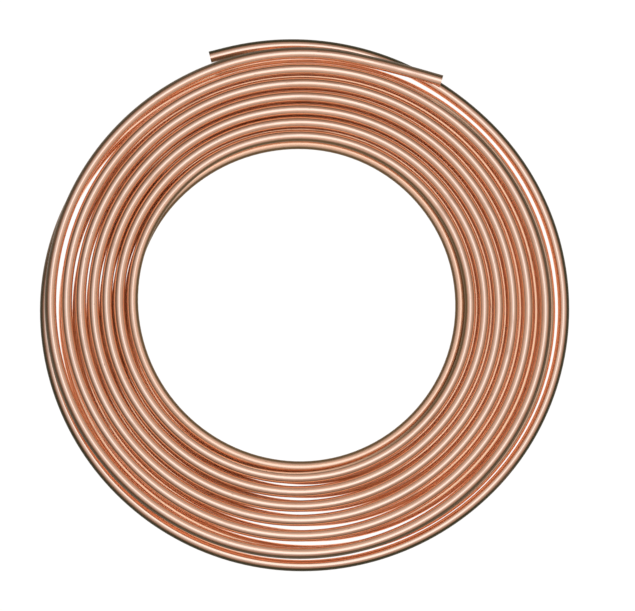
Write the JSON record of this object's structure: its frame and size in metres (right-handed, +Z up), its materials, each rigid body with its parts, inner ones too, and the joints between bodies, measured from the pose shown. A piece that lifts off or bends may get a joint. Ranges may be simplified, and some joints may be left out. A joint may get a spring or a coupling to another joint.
{
  "type": "copper tube coil",
  "caption": "Double-layer flat coil of soft copper tube with an open eye and two square-cut free ends.",
  "frame": {"origin": "centre of the bounding box, on the floor the coil lies on", "axes": "+Z up through the coil's eye, +X to the right and +Y away from the reader as the picture is seen from above"},
  "size_m": [0.435, 0.4372, 0.0193],
  "materials": {
    "copper": "bright drawn copper"
  },
  "bodies": {
    "root": {"copper_tube": "copper"}
  },
  "joints": []
}
